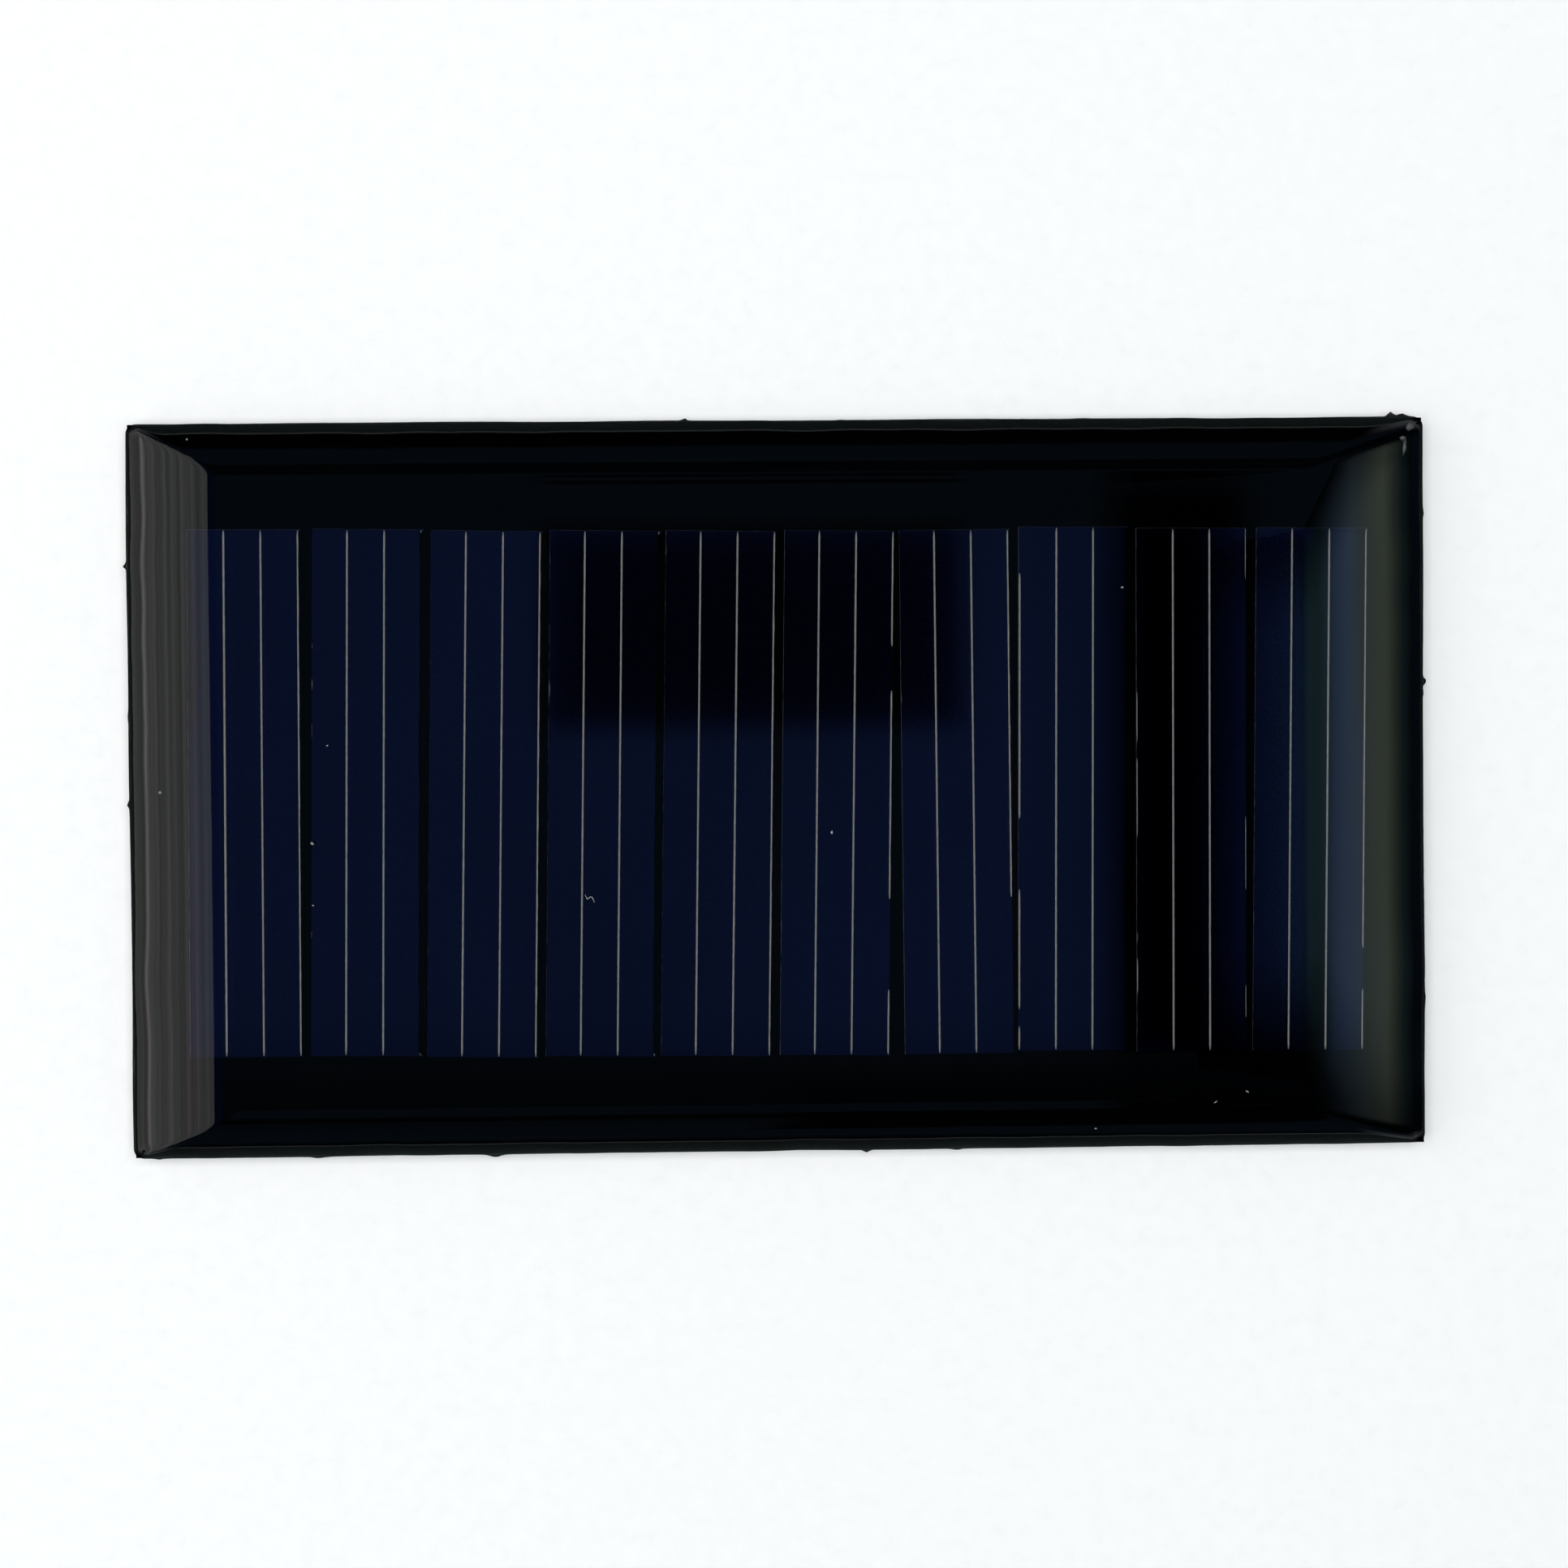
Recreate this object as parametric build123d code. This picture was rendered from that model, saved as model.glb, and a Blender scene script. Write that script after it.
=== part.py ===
"""Resin-potted mini solar panel: ten silicon strips in series on a small circuit board.

Frame: +X along the panel's length, +Y across it, +Z out of the lit face.
The origin is at the middle of the flat rear face, so the panel lies on z = 0.
All lengths are in millimetres and all angles in degrees.
"""

import math
import os

from build123d import *

# ---------------------------------------------------------------- panel
panel_length = 53.0
panel_width = 30.0
panel_height = 2.5

# ---------------------------------------------------------------- circuit board
core_thickness = 1.10
mask_thickness = 0.06
copper_thickness = 0.035
score_bevel = 0.10          # how far the V-score bevel cuts in from the board's edge
score_depth = 0.33          # how deep the V-score runs into the core, from each face

# ---------------------------------------------------------------- silicon strips
strip_count = 10
strip_pitch = 4.8
strip_width = 4.5
strip_length = 21.4
silicon_thickness = 0.18
rear_contact_thickness = 0.03
strip_standoff = 0.03       # the strip's underside stands this far above the mask

# How each strip was laid by hand: shift along X, shift along Y, and lean.
# A positive lean tips the +Y end towards +X.
strip_lay = (
    (-0.13, -0.08, 0.26),
    (-0.02, -0.10, 0.73),
    (-0.07, -0.20, 1.03),
    (-0.05, -0.22, 1.01),
    (-0.16, -0.26, 1.05),
    (-0.12, -0.28, 0.97),
    (-0.03, -0.28, -0.24),
    (-0.08, -0.20, 0.43),
    (-0.03, -0.28, 0.22),
    (0.02, -0.30, 0.70),
)

# ---------------------------------------------------------------- printed fingers
finger_pitch = 1.5
finger_width = 0.08
finger_thickness = 0.02
least_finger_width = 0.03   # what the strip's cut edge leaves must be at least this wide
finger_end_margin = 0.05

# From a strip's -X edge to its first inner finger. It drifts where the wafer was cut.
first_finger = (1.42, 1.42, 1.42, 1.42, 1.42, 1.42, 1.42, 1.55, 1.50, 1.46)

# Edge fingers that the cutting broke up, by strip and column: the runs that are left,
# measured along the strip from its +Y end. Column 0 is the one at the -X edge.
broken_fingers = {
    (6, 3): ((0.05, 4.7), (6.5, 15.0), (18.7, 21.35)),
    (7, 3): ((0.05, 15.0),),
    (8, 0): ((1.9, 11.9), (14.8, 19.7), (20.4, 21.35)),
    (9, 0): ((6.7, 8.7), (9.4, 12.6), (17.6, 19.0)),
    (9, 3): ((0.05, 2.1), (11.8, 14.8), (18.7, 20.0)),
    (10, 3): ((0.05, 17.2), (18.9, 21.35)),
}

# ---------------------------------------------------------------- bonds and links
bond_width = 2.8
bond_length = 20.4
bond_offset = 2.1           # bond's middle, from the -X side of the strip's pitch
link_length = 21.3
link_gap = 0.03             # clear of the strip's side, so that it can't short the cell
link_leg = 0.07
link_cap = 0.03

# How far each link's cap reaches onto its strip. The wide ones ran over the whole edge finger.
link_laps = (0.055, 0.15, 0.055, 0.15, 0.055, 0.055, 0.055, 0.15, 0.02, 0.02)

# ---------------------------------------------------------------- copper
land_length = 21.9
land_start = -0.55          # a land's -X side, from the -X side of the strip's pitch
land_end = -0.85            # its +X side, from the +X side of the strip's pitch
land_tail = 25.3            # how far the two end lands reach out, to their vias
via_x = 24.7
via_radius = 0.30
via_wall = 0.05

# ---------------------------------------------------------------- rear pads
pad_x = 20.5
pad_length = 5.0
pad_width = 4.0
pad_overlap = 0.15          # the mask covers this much of the pad's copper all round
trace_width = 1.2
tin_thickness = 0.02
mark_x = 16.0
mark_size = 1.8
mark_stroke = 0.35
mark_thickness = 0.02

# ---------------------------------------------------------------- clear resin
foot_inset = 0.13           # the resin's foot, in from the board's edge
resin_lip = 0.10            # upright edge of the resin at its foot
left_slope = 3.85           # slope at the -X end
right_slope = 5.05          # slope at the +X end
near_slope = 1.65           # slope along the -Y edge
far_slope = 2.15            # slope along the +Y edge

# ---------------------------------------------------------------- levels, from the rear face
core_bottom = mask_thickness
core_top = core_bottom + core_thickness
board_top = core_top + mask_thickness
land_top = core_top + copper_thickness
strip_bottom = board_top + strip_standoff
silicon_bottom = strip_bottom + rear_contact_thickness
silicon_top = silicon_bottom + silicon_thickness
finger_top = silicon_top + finger_thickness
link_top = finger_top + link_cap
first_edge = -strip_count * strip_pitch / 2
strips = range(1, strip_count + 1)


def slab(x0, x1, y0, y1, z0, z1):
    """A box between those limits."""
    size = (x1 - x0, y1 - y0, z1 - z0)
    return Pos((x0 + x1) / 2, (y0 + y1) / 2, (z0 + z1) / 2) * Box(*size)


def cut(body, tools):
    """The body with every tool taken out of it, as one part."""
    return Part() + (body - list(tools))


# ================================================================ board


def board_core():
    """Glass-epoxy core, bevelled top and bottom where its V-score was snapped."""
    inner = Rectangle(panel_length - 2 * score_bevel, panel_width - 2 * score_bevel)
    outer = Rectangle(panel_length, panel_width)
    levels = (
        (core_bottom, inner),
        (core_bottom + score_depth, outer),
        (core_top - score_depth, outer),
        (core_top, inner),
    )
    sections = [Pos(0, 0, z) * shape for z, shape in levels]
    core = Part()
    for lower, upper in zip(sections, sections[1:]):
        core += loft([lower, upper])
    return cut(core, [via_hole(side) for side in (-1, 1)])


def mask_sheet(z0, z1):
    """A full sheet of solder mask, which stops at the V-score."""
    x, y = panel_length / 2 - score_bevel, panel_width / 2 - score_bevel
    return slab(-x, x, -y, y, z0, z1)


def via_column(side, radius, z0, z1):
    return Pos(side * via_x, 0, (z0 + z1) / 2) * Cylinder(radius, z1 - z0)


def via_hole(side):
    return via_column(side, via_radius, core_bottom, core_top)


def via_barrel(side):
    """Plated copper wall of a via."""
    return cut(via_hole(side), [via_column(side, via_radius - via_wall, core_bottom, core_top)])


def via_fill(side):
    """Solder that plugs a via."""
    return via_column(side, via_radius - via_wall, core_bottom, core_top)


# ================================================================ front copper


def pitch_start(number):
    """The -X side of a strip's pitch."""
    return first_edge + (number - 1) * strip_pitch


def land(number):
    """Copper under one strip. It reaches under the gap before it, for the link to land on."""
    start, end = pitch_start(number) + land_start, pitch_start(number + 1) + land_end
    if number == 1:
        start = -land_tail
    return slab(start, end, -land_length / 2, land_length / 2, core_top, land_top)


def negative_land():
    """The last link's copper, which runs out to the minus via."""
    start = pitch_start(strip_count + 1) + land_start
    return slab(start, land_tail, -land_length / 2, land_length / 2, core_top, land_top)


def bond(number, top=strip_bottom):
    """Conductive adhesive between a land and the strip on it."""
    middle = pitch_start(number) + bond_offset
    x0, x1 = middle - bond_width / 2, middle + bond_width / 2
    return slab(x0, x1, -bond_length / 2, bond_length / 2, land_top, top)


# ================================================================ strips


def strip_place(number):
    """Where a strip lies: its own frame has X across it and Y along it."""
    shift_x, shift_y, lean = strip_lay[number - 1]
    middle = pitch_start(number) + strip_pitch / 2
    return Pos(middle + shift_x, shift_y, 0) * Rot(0, 0, -lean)


def strip_layer(number, z0, z1):
    half_w, half_l = strip_width / 2, strip_length / 2
    return strip_place(number) * slab(-half_w, half_w, -half_l, half_l, z0, z1)


def silicon_strip(number):
    return strip_layer(number, silicon_bottom, silicon_top)


def rear_contact(number):
    """Aluminium back contact of a strip."""
    return strip_layer(number, strip_bottom, silicon_bottom)


def finger_columns(number):
    """(column, its two sides across the strip) of each finger that the strip's edges leave."""
    half = strip_width / 2
    columns = []
    for column in range(4):
        middle = first_finger[number - 1] + (column - 1) * finger_pitch - half
        x0 = max(middle - finger_width / 2, -half)
        x1 = min(middle + finger_width / 2, half)
        if x1 - x0 >= least_finger_width:
            columns.append((column, x0, x1))
    return columns


def finger_grid(number):
    """Silver fingers printed on one strip."""
    whole = ((finger_end_margin, strip_length - finger_end_margin),)
    fingers = []
    for column, x0, x1 in finger_columns(number):
        for start, end in broken_fingers.get((number, column), whole):
            y0, y1 = strip_length / 2 - end, strip_length / 2 - start
            fingers.append(slab(x0, x1, y0, y1, silicon_top, finger_top))
    return [strip_place(number) * finger for finger in fingers]


def link(number):
    """Black conductive adhesive from a strip's edge finger down to the next land."""
    edge, half_l = strip_width / 2, link_length / 2
    outer = edge + link_gap + link_leg
    cap = slab(edge - link_laps[number - 1], outer, -half_l, half_l, finger_top, link_top)
    leg = slab(edge + link_gap, outer, -half_l, half_l, land_top, link_top)
    return strip_place(number) * (cap + leg)


def link_foot(number):
    """The slot in the mask that a link's leg stands in."""
    edge, half_l = strip_width / 2, link_length / 2
    x0 = edge + link_gap
    return strip_place(number) * slab(x0, x0 + link_leg, -half_l, half_l, land_top, board_top)


def front_mask():
    """Black mask over the front, open only at the bonds and the links."""
    sheet = mask_sheet(core_top, board_top)
    copper = [land(number) for number in strips] + [negative_land()]
    windows = [bond(number, board_top) for number in strips]
    feet = [link_foot(number) for number in strips]
    return cut(sheet, copper + windows + feet)


# ================================================================ rear face


def pad_copper(side):
    """Rear solder pad with the trace that joins it to its via."""
    x0, x1 = side * pad_x - pad_length / 2, side * pad_x + pad_length / 2
    z0, z1 = core_bottom - copper_thickness, core_bottom
    pad = slab(x0, x1, -pad_width / 2, pad_width / 2, z0, z1)
    reach = side * (via_x + trace_width / 2)
    ends = sorted((side * pad_x, reach))
    trace = slab(*ends, -trace_width / 2, trace_width / 2, z0, z1)
    return pad + trace


def pad_window(side, z0, z1):
    """The pad's open area, where the rear mask leaves it bare."""
    half_l, half_w = pad_length / 2 - pad_overlap, pad_width / 2 - pad_overlap
    return slab(side * pad_x - half_l, side * pad_x + half_l, -half_w, half_w, z0, z1)


def pad_tinning(side):
    """Solder coat on a pad, just below the rear face."""
    top = core_bottom - copper_thickness
    return pad_window(side, top - tin_thickness, top)


def polarity_mark(side):
    """A printed plus or minus sign, flush with the rear face."""
    half, stroke = mark_size / 2, mark_stroke / 2
    x = side * mark_x
    sign = slab(x - half, x + half, -stroke, stroke, 0, mark_thickness)
    if side < 0:
        sign += slab(x - stroke, x + stroke, -half, half, 0, mark_thickness)
    return sign


def rear_mask():
    """Black mask over the rear, open at the two pads."""
    sheet = mask_sheet(0, core_bottom)
    tools = []
    for side in (-1, 1):
        tools += [pad_copper(side), pad_window(side, 0, core_bottom), polarity_mark(side)]
    return cut(sheet, tools)


# ================================================================ clear resin


def crown_arc(foot, crest, rise):
    """Arc from the lip at foot up to the flat crown at crest, level where it meets the crown."""
    run = abs(crest - foot)
    radius = (run**2 + rise**2) / (2 * rise)
    half_turn = math.asin(run / radius) / 2
    towards_foot = math.copysign(1, foot - crest)
    middle = (
        crest + towards_foot * radius * math.sin(half_turn),
        panel_height - radius * (1 - math.cos(half_turn)),
    )
    return ThreePointArc((foot, panel_height - rise), middle, (crest, panel_height))


def crown_section(half, low_slope, high_slope):
    """Section of the resin: upright lips, an arc up each slope and a flat crown."""
    rise = panel_height - board_top - resin_lip
    low, high = (-half, board_top), (half, board_top)
    up = crown_arc(-half, -half + low_slope, rise)
    down = crown_arc(half, half - high_slope, rise)
    outline = Curve() + [
        Line(low, up @ 0),
        up,
        Line(up @ 1, down @ 1),
        down,
        Line(down @ 0, high),
        Line(high, low),
    ]
    return make_face(outline)


def resin_dome():
    """The two sections run along the panel and across it; what they share has mitred corners."""
    half_x, half_y = panel_length / 2 - foot_inset, panel_width / 2 - foot_inset
    across = extrude(Plane.XZ * crown_section(half_x, left_slope, right_slope), half_y, both=True)
    along = extrude(Plane.YZ * crown_section(half_y, near_slope, far_slope), half_x, both=True)
    return across & along


def strip_pocket(number):
    """All that a strip, its fingers and its link take out of the resin."""
    half_l = link_length / 2
    edge = strip_width / 2
    beside = slab(edge, edge + link_gap + link_leg, -half_l, half_l, board_top, link_top)
    pocket = [strip_layer(number, board_top, silicon_top), strip_place(number) * beside]
    return pocket + [link(number)] + finger_grid(number)


def encapsulant():
    tools = [tool for number in strips for tool in strip_pocket(number)]
    return cut(resin_dome(), tools)


# ================================================================ export


def save(name, *solids):
    """Writes one sub-part, which may be a group of separate solids."""
    pieces = [piece for solid in solids for piece in solid.solids()]
    export_step(pieces[0] if len(pieces) == 1 else Compound(children=pieces), f"parts/{name}.step")


def main():
    os.makedirs("parts", exist_ok=True)
    save("board_core", board_core())
    save("front_solder_mask", front_mask())
    save("rear_solder_mask", rear_mask())
    save("cell_lands", *[land(number) for number in strips])
    save("negative_land", negative_land())
    save("cell_bonds", *[bond(number) for number in strips])
    for number in strips:
        save(f"silicon_strip_{number:02d}", silicon_strip(number))
        save(f"rear_contact_{number:02d}", rear_contact(number))
        save(f"finger_grid_{number:02d}", *finger_grid(number))
        name = "negative_link" if number == strip_count else f"series_link_{number:02d}"
        save(name, link(number))
    for side, name in ((-1, "plus"), (1, "minus")):
        save(f"{name}_via_barrel", via_barrel(side))
        save(f"{name}_via_fill", via_fill(side))
        save(f"{name}_pad", pad_copper(side))
        save(f"{name}_pad_tinning", pad_tinning(side))
        save(f"{name}_mark", polarity_mark(side))
    save("encapsulant", encapsulant())


main()
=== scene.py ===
"""Looks of the resin-potted mini solar panel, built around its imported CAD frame.

Lengths below are in millimetres unless a name or comment says otherwise; MM turns them into
the metres that Blender and the frame use. +X runs along the panel, +Y across it, +Z up.
"""

import math

import bmesh
import bpy
from mathutils import Matrix, Vector, geometry, noise
from mathutils.bvhtree import BVHTree


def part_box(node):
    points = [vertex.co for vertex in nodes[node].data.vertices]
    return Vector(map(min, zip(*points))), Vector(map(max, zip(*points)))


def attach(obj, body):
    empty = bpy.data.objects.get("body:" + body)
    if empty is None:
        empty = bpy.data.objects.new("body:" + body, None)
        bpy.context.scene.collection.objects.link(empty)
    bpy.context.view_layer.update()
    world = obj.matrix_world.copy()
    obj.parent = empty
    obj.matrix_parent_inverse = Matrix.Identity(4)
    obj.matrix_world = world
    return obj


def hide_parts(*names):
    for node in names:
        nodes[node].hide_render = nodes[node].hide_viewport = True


MM = 0.001

# ------------------------------------------------------ resin surface
LEFT_SLOPE = 3.85           # slope at the -X end
RIGHT_SLOPE = 5.05          # slope at the +X end
NEAR_SLOPE = 1.65           # slope along the -Y edge
FAR_SLOPE = 2.15            # slope along the +Y edge
RESIN_LIP = 0.10            # upright edge at the resin's foot
RESIN_SINK = 0.01           # how far the resin's underside sinks into the mask
SLOPE_STEPS = 26
CROWN_STEP = 0.40           # mesh spacing on the flat crown
RIM_STEPS = (0.03, 0.07, 0.12, 0.17, 0.22, 0.28, 0.35, 0.43, 0.52, 0.65, 0.85, 1.15)
RIM_HEIGHT = 0.02           # the resin shrank, so the crown lies this far below its rim
LEFT_RIM = 0.55             # width of the rim on each side
RIGHT_RIM = 7.0
NEAR_RIM = 0.30
FAR_RIM = 0.40
CRISP_RIDGE = 12.0          # exponent of the mitred ridges at the -X end
SOFT_RIDGE = 5.0            # the same at the +X end, where the ridges are rounder
SWELL = 0.0025              # height of the crown's long, low waves
SWELL_SPAN = 9.0
FOOT_WANDER = 0.05          # how far the resin's foot wanders in and out
FOOT_SPAN = 2.2
FOOT_SPREAD = 0.045         # how far the resin's foot has run out over the board's bevel
RESIN_CORNER = 0.55         # corner radius of the resin's foot

# ------------------------------------------------------ board edge
CORNER_RADIUS = 0.42
CORNER_STEPS = 7
EDGE_STEP = 0.12
SCORE_BEVEL = 0.10
SCORE_DEPTH = 0.33
BEVEL_ROWS = 4
SNAP_ROWS = 11
SNAP_ROUGHNESS = 0.035      # how deep the snapped band between the V-scores is torn
PLY_SHARE = 0.6             # shares of the plies and the tears in it
TEAR_SHARE = 0.5
SNAP_INWARD = 0.5           # how far in it lies on average, as a share of its depth
BEVEL_SPLINTER = 0.35       # share of a splinter's reach that its bevels have
BEVEL_TORN = 0.15           # how torn a bevel gets towards the snapped band, which is 1
DRIFT_SPAN = 6.0            # spans of the noise along the edge
PLY_SPAN = (0.5, 0.07)      # the same along and up it
TEAR_SPAN = (0.16, 0.22)
EDGE_WANDER = 0.045         # how far the edge drifts, and the share of that it lies inward
WANDER_INWARD = 0.3
STAND_X = 0.05              # how far the short edges stand out past the nominal size
STAND_Y = -0.015            # the same for the long edges
VIA_RADIUS = 0.30
VIA_X = 24.7
VIA_SIDES = 28

# Splinters on the snapped edge: side, place along it, reach out, half width.
SPLINTERS = (
    ("left", 9.2, 0.16, 0.15),
    ("left", -0.5, 0.12, 0.18),
    ("left", 3.1, 0.04, 0.30),
    ("right", 4.1, 0.17, 0.20),
    ("right", 3.6, 0.06, 0.16),
    ("right", -9.0, 0.06, 0.45),
    ("right", 11.0, 0.05, 0.30),
    ("far", -3.8, 0.11, 0.16),
    ("far", 2.6, 0.04, 0.30),
    ("far", 12.5, 0.04, 0.50),
    ("far", 25.25, 0.20, 0.20),
    ("far", 25.7, 0.14, 0.30),
    ("near", -11.8, 0.13, 0.45),
    ("near", -25.5, 0.06, 0.30),
    ("near", 3.4, 0.12, 0.22),
    ("near", 7.1, 0.08, 0.35),
    ("near", -19.0, 0.05, 0.70),
)

# ------------------------------------------------------ strips
CUT_STEP = 0.14             # spacing of the points along a strip's cut sides
CUT_ROUGHNESS = 0.014
CUT_SPAN = 0.35             # span of the noise along a cut side
CUT_SHIFT = 2.1             # how far the noise differs between a cut side's two edges
CHIP_DEPTH = 0.05
CHIP_SPAN = 0.8
CHIP_SHIFT = 0.4
CHIP_START = 0.42           # noise at which a chip starts, and how much more makes it full
CHIP_RANGE = 0.3
FINGER_STEP = 0.20
FINGER_UNEVEN = 0.10        # share of a finger's width that its printed edges vary by
FINGER_SPAN = 0.45          # spans of the unevenness along a finger's sides and its crest
CREST_SPAN = 0.30
CREST_LEVEL = 0.85          # a finger's crest as a share of its height, and how far it varies
CREST_UNEVEN = 0.15
FINGER_END = 0.45           # a finger's width at its ends, as a share of its full width
SHOULDER_HEIGHT = 0.75      # a finger's shoulders, as shares of its height and half width
SHOULDER_PLACE = 0.72
BEAD_STEP = 0.16
BEAD_SPAN = 0.70
BEAD_UNEVEN = 0.035
BEAD_END = 0.35             # how much of a bead's lap is left at its ends
BEAD_SWELL = (5, 0.4, 0.5)  # how much its lap, top and outer side follow its unevenness
OUTER_SHOULDER = (0.02, 0.008)          # how far in and how far down it is
LAP_SHOULDER = (0.7, 0.012)             # share of the lap, and how far down it is

# ------------------------------------------------------ dust on the resin
# Place, size along the speck, size across it, and how far it is turned in degrees.
SPECKS = (
    (-25.15, 0.0, 0.11, 0.09, 20),
    (-19.0, -2.1, 0.14, 0.11, -25),
    (-19.0, -4.6, 0.08, 0.07, 0),
    (-18.35, 1.85, 0.08, 0.06, 40),
    (2.0, -1.85, 0.12, 0.09, 80),
    (13.9, 8.0, 0.13, 0.07, 15),
    (-23.9, 14.25, 0.08, 0.06, 60),
    (12.7, -14.05, 0.09, 0.06, 0),
    (17.6, -13.0, 0.15, 0.05, 35),
    (18.9, -12.6, 0.14, 0.05, -30),
)
# Flash left by the mould at the +X, +Y corner, in the same form.
FLASH = (
    (25.88, 14.50, 0.36, 0.26, 35),
    (25.62, 13.72, 0.70, 0.15, 86),
    (25.55, 14.02, 0.24, 0.22, 0),
)
SPECK_HEIGHT = 0.05
SPECK_LIFT = 0.2            # share of its height that a speck's middle is lifted
SPECK_UNEVEN = 0.7
FIBRE = ((-8.02, -4.28), (-7.93, -4.46), (-7.80, -4.36), (-7.72, -4.40), (-7.64, -4.60))
FIBRE_RADIUS = 0.022
FIBRE_SIDES = 8

# ------------------------------------------------------ camera and stage
CAMERA_PLACE = (-5.65, 4.16, 159.5)
CAMERA_AIM = (0.17, 0.07, 0.0)
CAMERA_ROLL = -0.474        # degrees
CAMERA_LENS = 89.0

# From here on, all lengths are in metres and all angles in degrees off the vertical.
CARD_DISTANCE = 0.36
LEFT_LIGHT_ANGLES = (18.5, 80)
LEFT_GAP_ANGLES = (13.0, 18.8)
RIGHT_LIGHT_ANGLES = (10.5, 60)
RIGHT_LIGHT_LOW = (-0.047, -0.064)      # its -Y limit at its near and far side
RIGHT_LIGHT_HIGH = (0.022, 0.046)       # the same for its +Y limit
LEFT_GAP_COLOUR = (0.007, 0.020, 0.100, 1)
GAP_SOFTNESS = (0.3, 0.05)  # width of its soft edges, as shares of the card
GAP_CLOSER = 0.98           # it hangs this share of the left light's distance away
WIDE_CARD = ((-0.20, -0.20), (0.20, 0.20))
FILL_SIZE = (0.7, 0.5)
FILL_PLACE = (-0.05, 0.05, 0.75)
FILL_POWER = 5.2
BLACK = (0, 0, 0, 1)
FLAG_HEIGHT = 0.161
# Name, limits (-X, +X, -Y, +Y), how wide the soft edge is, and how dark the middle is.
DARK_FLAGS = (
    ("square_flag", (-0.0146, 0.0216, -0.0003, 0.0182), 0.0020, 0.86),
    ("long_flag", (0.0308, 0.0445, -0.0310, 0.0225), 0.0036, 1.0),
    ("corner_flag", (0.0040, 0.0640, -0.2200, -0.0262), 0.0050, 0.90),
)
CEILING_COLOUR = (0.0215, 0.0450, 0.0720)
CEILING_FLOOR = 0.0008
# Brightness of the ceiling by angle towards +Y.
CEILING_BANDS = (
    (-90, 0.0),
    (-84, 0.0),
    (-70, 1.18),
    (-22, 0.70),
    (-17, 0.04),
    (-12, 0.0),
    (-9, 0.30),
    (-6.6, 0.30),
    (-5.9, 0.42),
    (-5.2, 1.0),
    (4.2, 1.0),
    (6.5, 0.21),
    (23, 0.17),
    (26, 1.18),
    (52, 0.97),
    (57, 0.0),
    (90, 0.0),
)
HORIZON_COLOUR = (0.62, 0.68, 0.72, 1)
BACKDROP_COLOUR = (0.93, 0.94, 0.94, 1)
FLOOR_SIZE = 6.0
FLOOR_FADE = (0.09, 0.60)   # the floor turns into the plain backdrop between these radii
FLOOR_GLOW = 0.08
FLOOR_DROP = 0.00002        # so that the floor isn't in the panel's own rear face

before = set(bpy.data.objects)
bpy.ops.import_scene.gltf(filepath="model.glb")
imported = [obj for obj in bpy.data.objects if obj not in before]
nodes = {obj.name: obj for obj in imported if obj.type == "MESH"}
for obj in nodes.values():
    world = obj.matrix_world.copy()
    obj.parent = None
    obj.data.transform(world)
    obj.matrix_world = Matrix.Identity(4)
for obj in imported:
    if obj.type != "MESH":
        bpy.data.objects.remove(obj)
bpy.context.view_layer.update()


# ====================================================== mesh helpers


def add_piece(name, points, faces, material, replaced=(), smooth=True):
    """A mesh piece of the panel, from points in millimetres in the row frame."""
    mesh = bpy.data.meshes.new(name)
    mesh.from_pydata([Vector(point) * MM for point in points], [], faces)
    mesh.validate()
    mesh.update()
    mesh.polygons.foreach_set("use_smooth", [smooth] * len(mesh.polygons))
    mesh.materials.append(material)
    piece = bpy.data.objects.new(name, mesh)
    bpy.context.scene.collection.objects.link(piece)
    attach(piece, "root")
    if replaced:
        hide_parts(*replaced)
    return piece


def box_of(node):
    """Lowest and highest corner of a CAD node, in millimetres."""
    low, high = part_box(node)
    return low / MM, high / MM


def wave(x, y, seed):
    """Smooth noise from about -1 to 1."""
    return noise.noise(Vector((x, y, seed * 17.3)))


# ====================================================== node helpers


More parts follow.
